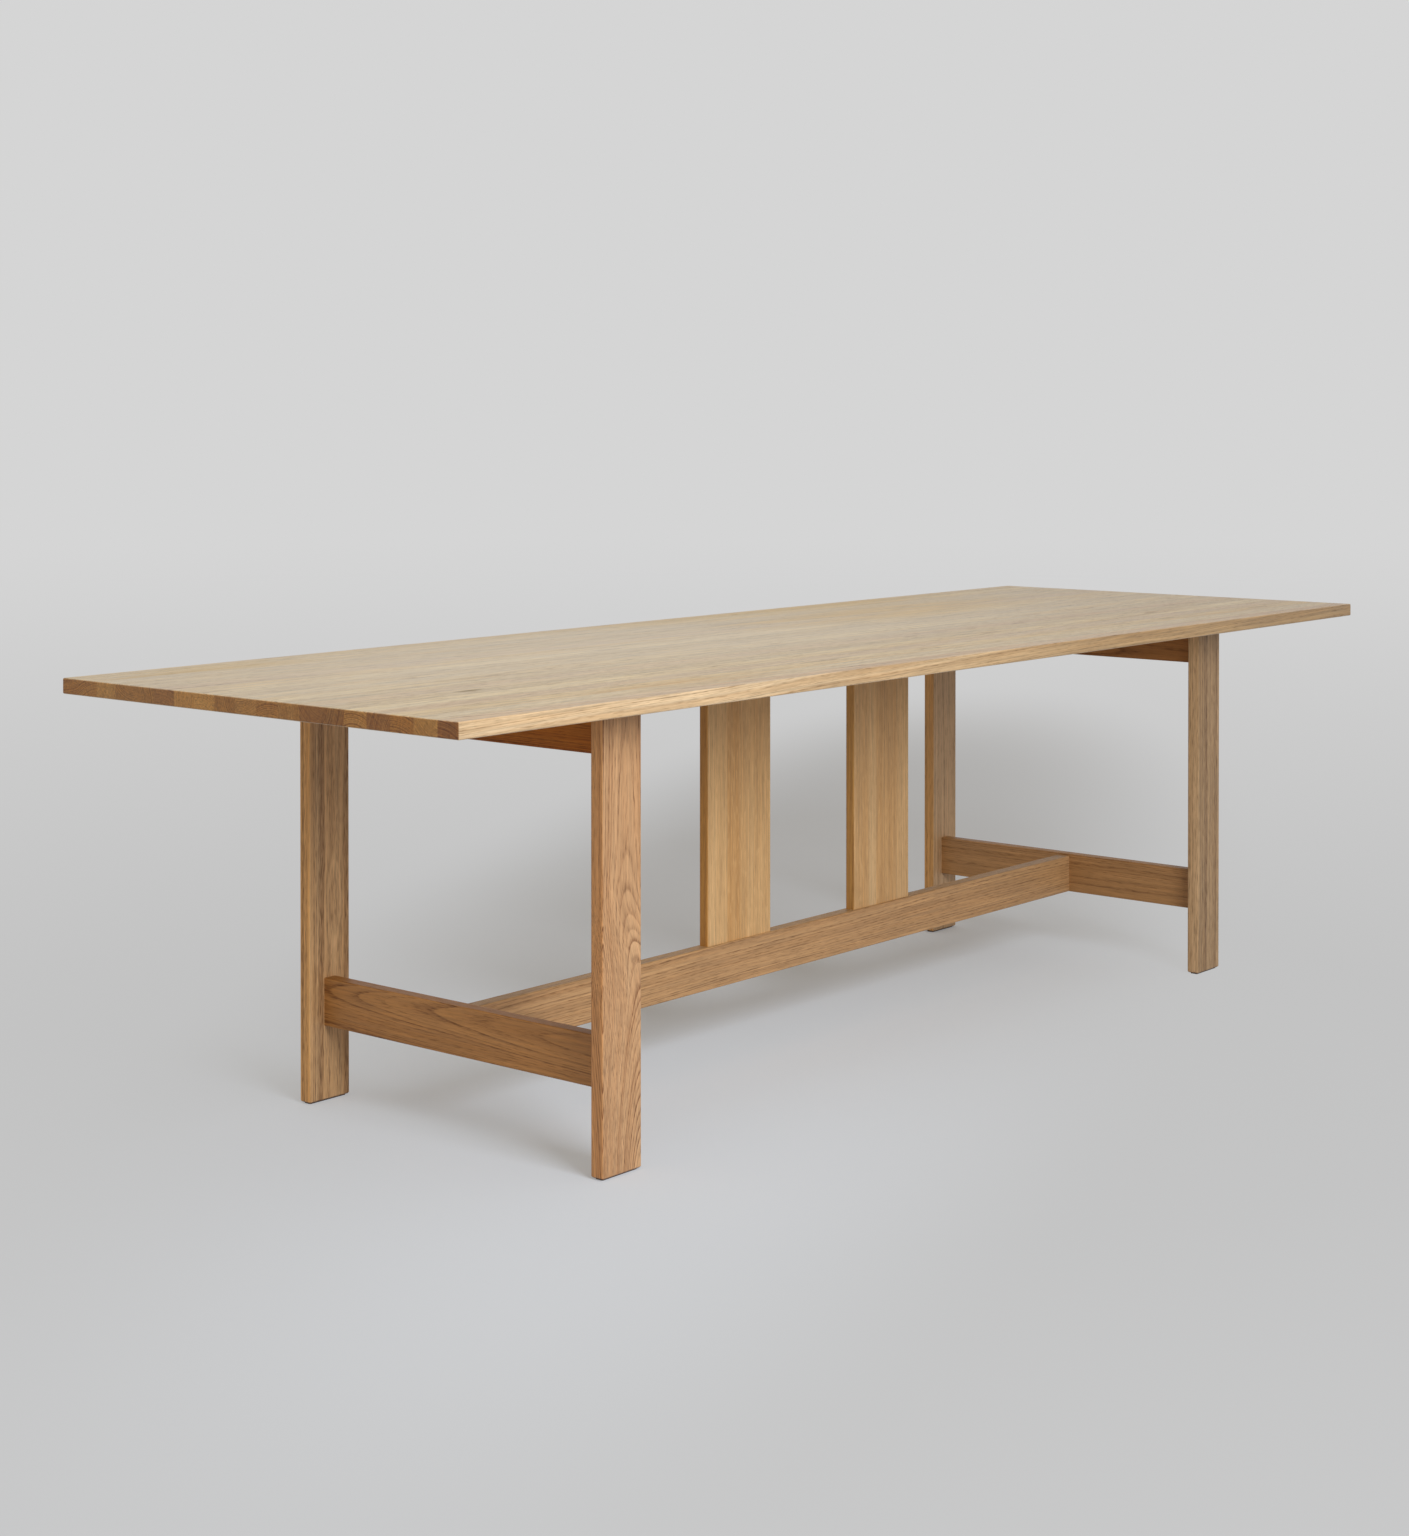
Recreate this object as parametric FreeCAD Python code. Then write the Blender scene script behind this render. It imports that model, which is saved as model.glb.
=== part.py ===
import FreeCAD, Part
import math
import os

from FreeCAD import Vector

# Solid oak trestle dining table, in millimetres.
# X runs along the table, Y across it, Z up. The origin is on the floor, under the middle of the top.

# Top
table_height = 735.0
top_length = 2700.0
top_width = 880.0
top_thickness = 25.0
stave_width = 47.0
top_edge_radius = 2.5

# Legs and their felt pads
end_overhang = 400.0
side_overhang = 100.0
leg_width = 88.0
leg_thickness = 25.0
leg_edge_radius = 3.0
foot_chamfer = 2.0
felt_thickness = 2.5
felt_inset = 3.0
felt_corner_radius = 2.0

# Lower rails and upper bearers of the end frames
rail_underside = 127.0
rail_height = 80.0
rail_thickness = 25.0
bearer_height = 76.0
bearer_thickness = 25.0
rail_edge_radius = 2.0

# Stub tenons of rails and bearers in the legs
tenon_thickness = 10.0
tenon_shoulder = 12.0
leg_wall_behind_tenon = 8.0

# Stretcher and slats
stretcher_height = 76.0
stretcher_thickness = 28.0
stretcher_edge_radius = 2.5
slat_width = 180.0
slat_thickness = 20.0
slat_gap = 255.0
slat_edge_radius = 3.0

# Bolts that draw the top down on the bearers
top_bolt_diameter = 6.0
top_bolt_inset = 80.0
top_bolt_grip = 25.0
top_bolt_head_diameter = 11.0
top_bolt_head_height = 4.0
top_bolt_key_width = 4.0
top_bolt_key_depth = 2.5
top_washer_diameter = 14.0
top_washer_thickness = 1.6
insert_diameter = 10.0
top_cover = 12.0
top_bolt_hole_clearance = 0.5
washer_clearance = 0.6
wood_movement = 3.0

# Hanger bolts that draw the stretcher on the rails
hanger_diameter = 8.0
rail_cover = 6.0
hanger_past_nut = 2.0
nut_across_flats = 13.0
nut_height = 6.5
half_moon_thickness = 5.0
pocket_setback = 30.0
pocket_length = 38.0
pocket_headroom = 2.0
spanner_room = 2.5

# Dowels
end_dowel_diameter = 8.0
end_dowel_depth = 15.0
end_dowel_inset = 14.0
foot_dowel_diameter = 10.0
foot_dowel_depth = 20.0
foot_dowel_inset = 35.0

# Figure-eight plates between the slats' heads and the top
plate_radius = 7.5
plate_pitch = 14.0
plate_waist = 9.0
plate_thickness = 2.5
plate_setback = 7.0
plate_inset = 40.0
plate_screw_diameter = 4.0
plate_screw_head_diameter = 8.0
plate_lip = 0.5
slat_screw_length = 25.0

# Clearances, and the least difference that counts
fit = 0.1
glue_gap = 1.0
tiny = 0.01

# Places that follow from the sizes above
top_underside = table_height - top_thickness
half_length = top_length / 2
half_width = top_width / 2
leg_outer_x = half_length - end_overhang
frame_x = leg_outer_x - leg_width / 2
leg_outer_y = half_width - side_overhang
leg_inner_y = leg_outer_y - leg_thickness
rail_inner_x = frame_x - rail_thickness / 2
bearer_underside = top_underside - bearer_height
stretcher_underside = rail_underside
stretcher_top = stretcher_underside + stretcher_height
hanger_z = stretcher_underside + stretcher_height / 2
slat_x = (slat_gap + slat_width) / 2
mortise_depth = leg_thickness - leg_wall_behind_tenon
tenon_length = mortise_depth - glue_gap
top_bolt_y = leg_inner_y - top_bolt_inset
insert_length = top_thickness - top_cover
pocket_width = nut_across_flats + 2 * spanner_room
half_moon_height = pocket_width
plate_screw_head_height = plate_thickness - plate_lip

x_axis = Vector(1, 0, 0)
y_axis = Vector(0, 1, 0)
z_axis = Vector(0, 0, 1)
sides = {"left": -1, "right": 1}
depths = {"front": -1, "rear": 1}


# Shapes that the pieces are made of

def block(x_from, x_to, y_from, y_to, z_from, z_to):
    corner = Vector(min(x_from, x_to), min(y_from, y_to), min(z_from, z_to))
    return Part.makeBox(abs(x_to - x_from), abs(y_to - y_from), abs(z_to - z_from), corner)


def rod(diameter, start, end):
    run = end - start
    return Part.makeCylinder(diameter / 2, run.Length, start, run)


def edges_along(shape, axis):
    return [edge for edge in shape.Edges if edge.tangentAt(edge.FirstParameter).cross(axis).Length < tiny]


def eased(board, axis, radius):
    return board.makeFillet(radius, edges_along(board, axis))


# A drilled hole for a rod: a little wider, and deeper by the glue gap
def drilled(diameter, mouth, direction, depth):
    return rod(diameter + 2 * fit, mouth, mouth + direction * (depth + glue_gap))


# A hole along Z that is stretched by the travel to both sides along an axis
def slot(centre, diameter, height, axis, travel):
    hole = Part.makeCylinder(diameter / 2, height, centre - axis * travel)
    if travel > 0:
        far_end = Part.makeCylinder(diameter / 2, height, centre + axis * travel)
        across = axis.cross(z_axis) * (diameter / 2)
        corners = [centre - axis * travel - across, centre + axis * travel - across]
        corners += [centre + axis * travel + across, centre - axis * travel + across]
        middle = Part.Face(Part.makePolygon(corners + corners[:1])).extrude(z_axis * height)
        hole = hole.fuse([middle, far_end]).removeSplitter()
    return hole


# Places of the hardware

def top_bolt_places(side):
    return [Vector(side * frame_x, row * top_bolt_y, 0) for row in (-1, 0, 1)]


def end_dowel_heights():
    reach = stretcher_height / 2 - end_dowel_inset
    return [hanger_z - reach, hanger_z + reach]


def foot_dowel_places(side):
    reach = slat_width / 2 - foot_dowel_inset
    return [Vector(side * slat_x + step * reach, 0, stretcher_top) for step in (-1, 1)]


def plate_places(side):
    reach = slat_width / 2 - plate_inset
    seat_y = slat_thickness / 2 - plate_setback
    seat_z = top_underside - plate_thickness
    return [Vector(side * slat_x + step * reach, seat_y, seat_z) for step in (-1, 1)]


# Top: one eased panel, parted along its glue lines into its staves.
# The middle stave lies on the centre line, and an edge stave is at least half as wide as a whole one.

def stave_edges():
    whole_per_side = math.floor(half_width / stave_width - 1)
    reach = (whole_per_side + 0.5) * stave_width
    inner = [-reach + step * stave_width for step in range(2 * whole_per_side + 2)]
    return [-half_width] + inner + [half_width]


def top_holes():
    holes = []
    for side in sides.values():
        for place in top_bolt_places(side):
            holes.append(drilled(insert_diameter, place + z_axis * top_underside, z_axis, insert_length))
        for seat in plate_places(side):
            mouth = seat + y_axis * plate_pitch + z_axis * plate_thickness
            holes.append(drilled(plate_screw_diameter, mouth, z_axis, insert_length))
    return holes


def make_staves():
    panel = block(-half_length, half_length, -half_width, half_width, top_underside, table_height)
    panel = panel.makeFillet(top_edge_radius, panel.Edges).cut(top_holes())
    edges = stave_edges()
    staves = {}
    for number, (near, far) in enumerate(zip(edges, edges[1:]), start=1):
        strip = block(-half_length, half_length, near, far, top_underside, table_height)
        staves[f"top_stave_{number:02d}"] = panel.common(strip)
    return staves


# End frames

def tenon(side, depth, thickness, z_from, z_to, start, length):
    near = depth * start
    far = depth * (start + length)
    half = thickness / 2
    return block(side * frame_x - half, side * frame_x + half, near, far, z_from, z_to)


def tenon_span(underside, height):
    return underside + tenon_shoulder, underside + height - tenon_shoulder


def cross_board(side, thickness, underside, height):
    half = thickness / 2
    centre = side * frame_x
    board = block(centre - half, centre + half, -leg_inner_y, leg_inner_y, underside, underside + height)
    board = eased(board, y_axis, rail_edge_radius)
    low, high = tenon_span(underside, height)
    for depth in depths.values():
        board = board.fuse(tenon(side, depth, tenon_thickness, low, high, leg_inner_y, tenon_length))
    return board.removeSplitter()


def mortise(side, depth, underside, height):
    low, high = tenon_span(underside, height)
    return tenon(side, depth, tenon_thickness + 2 * fit, low - fit, high + fit, leg_inner_y, mortise_depth)


def make_leg(side, depth):
    outer_x = side * leg_outer_x
    inner_x = side * (leg_outer_x - leg_width)
    leg = block(outer_x, inner_x, depth * leg_inner_y, depth * leg_outer_y, felt_thickness, top_underside)
    leg = eased(leg, z_axis, leg_edge_radius)
    foot_edges = [edge for edge in leg.Edges if edge.BoundBox.ZMax < felt_thickness + tiny]
    leg = leg.makeChamfer(foot_chamfer, foot_edges)
    rail_mortise = mortise(side, depth, rail_underside, rail_height)
    bearer_mortise = mortise(side, depth, bearer_underside, bearer_height)
    return leg.cut([rail_mortise, bearer_mortise])


def make_felt(side, depth):
    inset = foot_chamfer + felt_inset
    outer_x = side * (leg_outer_x - inset)
    inner_x = side * (leg_outer_x - leg_width + inset)
    near = depth * (leg_inner_y + inset)
    far = depth * (leg_outer_y - inset)
    pad = block(outer_x, inner_x, near, far, 0, felt_thickness)
    return eased(pad, z_axis, felt_corner_radius)


def make_rail(side):
    rail = cross_board(side, rail_thickness, rail_underside, rail_height)
    outward = x_axis * side
    inner = outward * rail_inner_x
    holes = [drilled(hanger_diameter, inner + z_axis * hanger_z, outward, rail_thickness - rail_cover)]
    for height in end_dowel_heights():
        holes.append(drilled(end_dowel_diameter, inner + z_axis * height, outward, end_dowel_depth))
    return rail.cut(holes)


def make_bearer(side):
    bearer = cross_board(side, bearer_thickness, bearer_underside, bearer_height)
    shoulder = top_underside - top_bolt_grip
    shank_hole = top_bolt_diameter + 2 * top_bolt_hole_clearance
    counterbore = top_washer_diameter + 2 * washer_clearance
    holes = []
    for place in top_bolt_places(side):
        travel = wood_movement if abs(place.y) > tiny else 0
        holes.append(slot(place + z_axis * shoulder, shank_hole, top_bolt_grip, y_axis, travel))
        depth = shoulder - bearer_underside
        holes.append(slot(place + z_axis * bearer_underside, counterbore, depth, y_axis, travel))
    return bearer.cut(holes)


# Stretcher and slats

def make_stretcher():
    half = stretcher_thickness / 2
    board = block(-rail_inner_x, rail_inner_x, -half, half, stretcher_underside, stretcher_top)
    board = eased(board, x_axis, stretcher_edge_radius)
    holes = []
    for side in sides.values():
        inward = x_axis * -side
        end = Vector(side * rail_inner_x, 0, 0)
        pocket_travel = (pocket_length - pocket_width) / 2
        pocket = end + inward * (pocket_setback + pocket_length / 2) + z_axis * stretcher_underside
        pocket_depth = hanger_z + half_moon_height / 2 + pocket_headroom - stretcher_underside
        holes.append(slot(pocket, pocket_width, pocket_depth, x_axis, pocket_travel))
        hanger_reach = pocket_setback + pocket_width / 2
        holes.append(drilled(hanger_diameter, end + z_axis * hanger_z, inward, hanger_reach))
        for height in end_dowel_heights():
            holes.append(drilled(end_dowel_diameter, end + z_axis * height, inward, end_dowel_depth))
        for place in foot_dowel_places(side):
            holes.append(drilled(foot_dowel_diameter, place, -z_axis, foot_dowel_depth))
    return board.cut(holes)


def figure_eight(seat, radius, waist):
    far = seat + y_axis * plate_pitch
    web = block(seat.x - waist / 2, seat.x + waist / 2, seat.y, far.y, seat.z, seat.z + plate_thickness)
    discs = [Part.makeCylinder(radius, plate_thickness, centre) for centre in (seat, far)]
    return web.fuse(discs).removeSplitter()


def make_slat(side):
    near = side * slat_x - slat_width / 2
    far = side * slat_x + slat_width / 2
    half = slat_thickness / 2
    board = block(near, far, -half, half, stretcher_top, top_underside)
    board = eased(board, z_axis, slat_edge_radius)
    holes = []
    for place in foot_dowel_places(side):
        holes.append(drilled(foot_dowel_diameter, place, z_axis, foot_dowel_depth))
    for seat in plate_places(side):
        holes.append(figure_eight(seat, plate_radius + fit, plate_waist + 2 * fit))
        mouth = seat + z_axis * plate_thickness
        holes.append(drilled(plate_screw_diameter, mouth, -z_axis, slat_screw_length))
    return board.cut(holes)


# Hardware, one list of solids for each kind

def countersunk(head, direction, diameter_gap, length):
    shank_radius = plate_screw_diameter / 2 + diameter_gap
    head_radius = plate_screw_head_diameter / 2 + diameter_gap
    cone = Part.makeCone(head_radius, shank_radius, plate_screw_head_height, head, direction)
    return cone.fuse(rod(2 * shank_radius, head, head + direction * length)).removeSplitter()


def plate_hardware():
    plates = []
    slat_screws = []
    top_screws = []
    for side in sides.values():
        for seat in plate_places(side):
            upper = seat + z_axis * plate_thickness
            lower = seat + y_axis * plate_pitch
            upper_hole = countersunk(upper, -z_axis, fit, plate_thickness)
            lower_hole = countersunk(lower, z_axis, fit, plate_thickness)
            plates.append(figure_eight(seat, plate_radius, plate_waist).cut([upper_hole, lower_hole]))
            slat_screws.append(countersunk(upper, -z_axis, 0, slat_screw_length))
            top_screws.append(countersunk(lower, z_axis, 0, plate_thickness + insert_length))
    return {
        "slat_head_plates": plates,
        "plate_to_slat_screws": slat_screws,
        "plate_to_top_screws": top_screws,
    }


def hexagon(across_flats, base, direction, height):
    flat_count = 6
    corner_radius = across_flats / 2 / math.cos(math.pi / flat_count)
    spoke = z_axis * corner_radius if abs(direction.z) < tiny else x_axis * corner_radius
    turns = [FreeCAD.Rotation(direction, step * 360 / flat_count) for step in range(flat_count + 1)]
    corners = [base + turn.multVec(spoke) for turn in turns]
    return Part.Face(Part.makePolygon(corners)).extrude(direction * height)


def top_hardware():
    bolts = []
    washers = []
    inserts = []
    for place in [place for side in sides.values() for place in top_bolt_places(side)]:
        seat = place + z_axis * (top_underside - top_bolt_grip)
        under_washer = seat - z_axis * top_washer_thickness
        under_head = under_washer - z_axis * top_bolt_head_height
        tip = place + z_axis * (top_underside + insert_length)
        shank = rod(top_bolt_diameter, under_washer, tip)
        head = rod(top_bolt_head_diameter, under_head, under_washer)
        key = hexagon(top_bolt_key_width, under_head, z_axis, top_bolt_key_depth)
        bolts.append(head.fuse(shank).removeSplitter().cut(key))
        bore = rod(top_bolt_diameter + 2 * fit, under_washer, tip)
        washers.append(rod(top_washer_diameter, under_washer, seat).cut(bore))
        inserts.append(rod(insert_diameter, place + z_axis * top_underside, tip).cut(bore))
    return {"top_bolts": bolts, "top_bolt_washers": washers, "top_bolt_inserts": inserts}


def stretcher_hardware():
    bolts = []
    half_moons = []
    nuts = []
    for side in sides.values():
        inward = x_axis * -side
        pocket_end = Vector(side * rail_inner_x, 0, hanger_z) + inward * pocket_setback
        nut_seat = pocket_end + inward * half_moon_thickness
        nut_end = nut_seat + inward * nut_height
        root = Vector(side * (rail_inner_x + rail_thickness - rail_cover), 0, hanger_z)
        bolts.append(rod(hanger_diameter, root, nut_end + inward * hanger_past_nut))
        bore = rod(hanger_diameter + 2 * fit, root, nut_end)
        nuts.append(hexagon(nut_across_flats, nut_seat, inward, nut_height).cut(bore))
        base = pocket_end + inward * (pocket_width / 2) - z_axis * (half_moon_height / 2)
        disc = Part.makeCylinder(pocket_width / 2 - fit, half_moon_height, base)
        past_nut = block(nut_seat.x, nut_seat.x - side * pocket_width, -pocket_width, pocket_width,
                         hanger_z - half_moon_height, hanger_z + half_moon_height)
        half_moons.append(disc.cut([past_nut, bore]))
    return {"hanger_bolts": bolts, "half_moon_washers": half_moons, "hanger_bolt_nuts": nuts}


def dowels():
    end_dowels = []
    foot_dowels = []
    for side in sides.values():
        reach_x = x_axis * (side * end_dowel_depth)
        for height in end_dowel_heights():
            joint = Vector(side * rail_inner_x, 0, height)
            end_dowels.append(rod(end_dowel_diameter, joint - reach_x, joint + reach_x))
        reach_z = z_axis * foot_dowel_depth
        for place in foot_dowel_places(side):
            foot_dowels.append(rod(foot_dowel_diameter, place - reach_z, place + reach_z))
    return {"stretcher_end_dowels": end_dowels, "slat_foot_dowels": foot_dowels}


# The whole table, one file for each piece or kind of fastener

pieces = make_staves()
for side_name, side_sign in sides.items():
    for depth_name, depth_sign in depths.items():
        pieces[f"leg_{side_name}_{depth_name}"] = make_leg(side_sign, depth_sign)
        pieces[f"felt_pad_{side_name}_{depth_name}"] = make_felt(side_sign, depth_sign)
    pieces[f"lower_rail_{side_name}"] = make_rail(side_sign)
    pieces[f"bearer_{side_name}"] = make_bearer(side_sign)
    pieces[f"slat_{side_name}"] = make_slat(side_sign)
pieces["stretcher"] = make_stretcher()
for hardware in (top_hardware(), stretcher_hardware(), dowels(), plate_hardware()):
    for name, solids in hardware.items():
        pieces[name] = Part.makeCompound(solids)

os.makedirs("parts", exist_ok=True)
for name, shape in pieces.items():
    shape.exportStep(f"parts/{name}.step")
    print(name, len(shape.Solids), round(shape.Volume), shape.isValid())
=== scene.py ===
import math
import bpy
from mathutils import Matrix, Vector


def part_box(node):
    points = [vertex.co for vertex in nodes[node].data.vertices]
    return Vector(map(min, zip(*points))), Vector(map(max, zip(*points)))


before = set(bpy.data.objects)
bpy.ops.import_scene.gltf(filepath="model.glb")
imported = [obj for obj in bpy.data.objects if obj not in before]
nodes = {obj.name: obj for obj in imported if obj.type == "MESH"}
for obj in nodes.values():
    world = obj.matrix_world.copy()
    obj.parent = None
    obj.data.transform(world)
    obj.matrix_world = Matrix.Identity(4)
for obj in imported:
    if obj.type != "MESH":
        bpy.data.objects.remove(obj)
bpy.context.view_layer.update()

print("frame loaded:", len(nodes), "nodes")


def paint(red, green, blue):  # a colour as a paint chart gives it, 0 to 255
    shares = [level / 255 for level in (red, green, blue)]
    return tuple(s / 12.92 if s < 0.04045 else ((s + 0.055) / 1.055) ** 2.4 for s in shares) + (1.0,)


def feed(tree, socket, value):  # an input takes a link or a plain value
    if isinstance(value, bpy.types.NodeSocket):
        tree.links.new(value, socket)
    else:
        socket.default_value = value


def put(tree, kind, label, inputs=None, **settings):  # a node, its settings, and what goes into it
    node = tree.nodes.new(kind)
    node.name = node.label = label
    for key, value in settings.items():
        setattr(node, key, value)
    for key, value in (inputs or {}).items():
        feed(tree, node.inputs[key], value)
    return node


def mathNode(tree, label, operation, *values, clamp=False):
    node = put(tree, "ShaderNodeMath", label, dict(enumerate(values)), operation=operation, use_clamp=clamp)
    return node.outputs[0]


def vectorNode(tree, label, operation, *values):
    node = put(tree, "ShaderNodeVectorMath", label, dict(enumerate(values)), operation=operation)
    return node.outputs["Value" if operation == "LENGTH" else "Vector"]


def axesOf(tree, label, vector):
    return put(tree, "ShaderNodeSeparateXYZ", label, {"Vector": vector}).outputs


def pointOf(tree, label, x, y, z):
    return put(tree, "ShaderNodeCombineXYZ", label, {"X": x, "Y": y, "Z": z}).outputs[0]


def rescale(tree, label, value, source=(0.0, 1.0), target=(0.0, 1.0), ease="LINEAR"):
    ends = {"From Min": source[0], "From Max": source[1], "To Min": target[0], "To Max": target[1]}
    node = put(tree, "ShaderNodeMapRange", label, {"Value": value, **ends}, interpolation_type=ease)
    return node.outputs[0]


def mixColour(tree, label, share, a, b, blend="MIX"):
    node = put(tree, "ShaderNodeMix", label, {"Factor": share}, data_type="RGBA", blend_type=blend)
    colourInputs = [socket for socket in node.inputs if socket.type == "RGBA"]
    for socket, value in zip(colourInputs, (a, b)):
        feed(tree, socket, value)
    return [socket for socket in node.outputs if socket.type == "RGBA"][0]


def ramp(tree, label, share, stops, ease="LINEAR"):  # stops are place and grey level
    node = put(tree, "ShaderNodeValToRGB", label, {"Fac": share})
    node.color_ramp.interpolation = ease
    while len(node.color_ramp.elements) < len(stops):
        node.color_ramp.elements.new(0.5)
    for element, (where, level) in zip(node.color_ramp.elements, stops):
        element.position = where
        element.color = (level, level, level, 1.0)
    return node.outputs["Color"]


def spot(tree, label, place, middle, reach, soft):  # 1 in the middle of an oval, 0 outside it
    oval = put(tree, "ShaderNodeMapping", label + " oval",
               {"Vector": place, "Location": middle, "Scale": reach}, vector_type="TEXTURE")
    away = vectorNode(tree, label + " from its middle", "LENGTH", oval.outputs[0])
    return rescale(tree, label, away, (soft, 1.0), (1.0, 0.0), "SMOOTHSTEP")


def freshMaterial(name):
    mat = bpy.data.materials.new(name)
    mat.use_nodes = True
    mat.node_tree.nodes.clear()
    return mat, mat.node_tree


def dress(node, mat):
    for slot in nodes[node].material_slots:
        slot.material = mat


# oak, solid right through: year rings round the log's pith, so that faces and end grain agree
plainCut = {  # what a board has where its own cut says nothing else
    "wander": 0.012, "band": "narrow", "pores": 0.5, "flecks": 0.18, "fibre": 0.13, "satin": 0.48,
    "gloss": 0.5, "end": (214, 190, 160), "patches": [],
}
grainOrder = {"x": (0, 1, 2), "y": (1, 0, 2), "z": (2, 0, 1)}  # along the grain first, then across it
grainNoise = {  # how often a metre, along the grain and across it; a cut may give its own streaks
    "slow waves": {"along": 1.6, "across": 9.0, "detail": 1.5, "rough": 0.5, "seed": 0.0},
    "pores": {"along": 45.0, "across": 700.0, "detail": 1.0, "rough": 0.5, "seed": 0.0},
    "fibres": {"along": 7.0, "across": 260.0, "detail": 2.0, "rough": 0.5, "seed": 0.0},
    "streaks": {"along": 1.1, "across": 34.0, "detail": 2.5, "rough": 0.6, "seed": 5.0},
}
# every noise is turned round the grain, moved by its board's seed and distorted a little
noiseLay = {"turn": (0.65, 0.0, 0.0), "seedStep": (1.37, 2.11, 0.73), "distortion": 0.25}
noiseMiddle = (0.5, 0.5, 0.5)
rightThrough = 10.0  # metres, more than any board is thick


def stretched(tree, kind, grain, seed, along=None):  # noise drawn out along the grain
    look = grainNoise[kind]
    often = (along or look["along"], look["across"], look["across"])
    start = [(seed + look["seed"]) * step for step in noiseLay["seedStep"]]
    spread = put(tree, "ShaderNodeMapping", kind + " spread",
                 {"Vector": grain, "Scale": often, "Rotation": noiseLay["turn"], "Location": start})
    return put(tree, "ShaderNodeTexNoise", kind,
               {"Vector": spread.outputs[0], "Scale": 1.0, "Detail": look["detail"],
                "Roughness": look["rough"], "Distortion": noiseLay["distortion"]})


def bentLog(tree, grain, bend):  # the pith moves aside over a stretch: where that starts and stops, how far
    along = axesOf(tree, "along the log", grain)["X"]
    aside = {}
    for way, (start, stop, move) in bend.items():
        aside[way] = rescale(tree, "bend " + way, along, (start, stop), (0.0, move), "SMOOTHSTEP")
    moved = pointOf(tree, "bend", 0.0, aside["across"], aside["through"])
    return vectorNode(tree, "bent log", "SUBTRACT", grain, moved)


stripsApart = (3.0, 0.06, 0.03)  # metres between the logs of a board's strips


def boardInLog(tree, node, cut):  # the board's place in its log: along the pith, and both ways across it
    order = grainOrder[cut["along"]]
    low, high = [[corner[k] for k in order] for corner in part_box(node)]
    middle = [(a + b) / 2 for a, b in zip(low, high)]
    place = put(tree, "ShaderNodeTexCoord", "place on the table").outputs
    axes = axesOf(tree, "axes", place["Object"])
    turned = pointOf(tree, "grain first", *[axes[k] for k in order])
    board = turned
    tone = None
    if "strips" in cut:  # glued from strips: each has its own tone and its own place in a log
        across = rescale(tree, "across the strips", axes[order[1]], (low[1], high[1]))
        tone = ramp(tree, "strips", across, cut["strips"], "CONSTANT")
        board = vectorNode(tree, "strips apart", "MULTIPLY_ADD", tone, stripsApart, board)
    pithPoint = (middle[0], middle[1] + cut["pith"][0], middle[2] + cut["pith"][1])
    lean = (0.0, -cut["lean"][1], cut["lean"][0])
    log = put(tree, "ShaderNodeMapping", "in the log",
              {"Vector": board, "Location": pithPoint, "Rotation": lean}, vector_type="TEXTURE")
    grain = log.outputs[0]
    if "bend" in cut:
        grain = bentLog(tree, grain, cut["bend"])

    # the log isn't straight: slow waves push the rings about
    waves = stretched(tree, "slow waves", grain, cut["seed"]).outputs["Color"]
    waves = vectorNode(tree, "waves both ways", "SUBTRACT", waves, noiseMiddle)
    push = (0.0, cut["wander"], cut["wander"])
    pushed = vectorNode(tree, "pushed rings", "MULTIPLY_ADD", waves, push, grain)
    flat = vectorNode(tree, "across only", "MULTIPLY", pushed, (0.0, 1.0, 1.0))
    radius = vectorNode(tree, "from the pith", "LENGTH", flat)
    if "swirl" in cut:  # a place where the rings bend round a swelling in the log
        swirl = cut["swirl"]
        centre = (middle[0] + swirl["along"], middle[1] + swirl["across"], middle[2])
        bulge = spot(tree, "swirl", turned, centre, (swirl["long"], swirl["wide"], rightThrough), 0.0)
        bulge = mathNode(tree, "swirl push", "MULTIPLY", bulge, swirl["push"])
        radius = mathNode(tree, "round the swirl", "ADD", radius, bulge)
    faces = axesOf(tree, "faces", place["Normal"])
    wideWay = max((1, 2), key=lambda k: high[k] - low[k])
    return {"place": place["Object"], "alongAxis": axes[order[0]], "faces": faces, "tone": tone,
            "grain": grain, "waves": waves, "pushed": pushed, "radius": radius,
            "endWay": order[0], "edgeWay": order[wideWay]}


springBand = {  # how dark the wood is through one year
    "narrow": [(0.0, 0.55), (0.06, 1.0), (0.34, 0.32), (0.62, 0.06), (0.94, 0.0), (1.0, 0.55)],
    "broad": [(0.0, 0.45), (0.14, 0.85), (0.36, 1.0), (0.60, 0.55), (0.84, 0.08), (1.0, 0.45)],
}
yearLook = {
    "change": 90.0, "detail": 1.0,  # how often good and poor years change, in a metre from the pith
    "push": 3.0,  # by how many rings they shift the count
    "fewStrong": 1.8, "weakest": 0.25,  # a higher power leaves fewer strong rings
}


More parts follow.
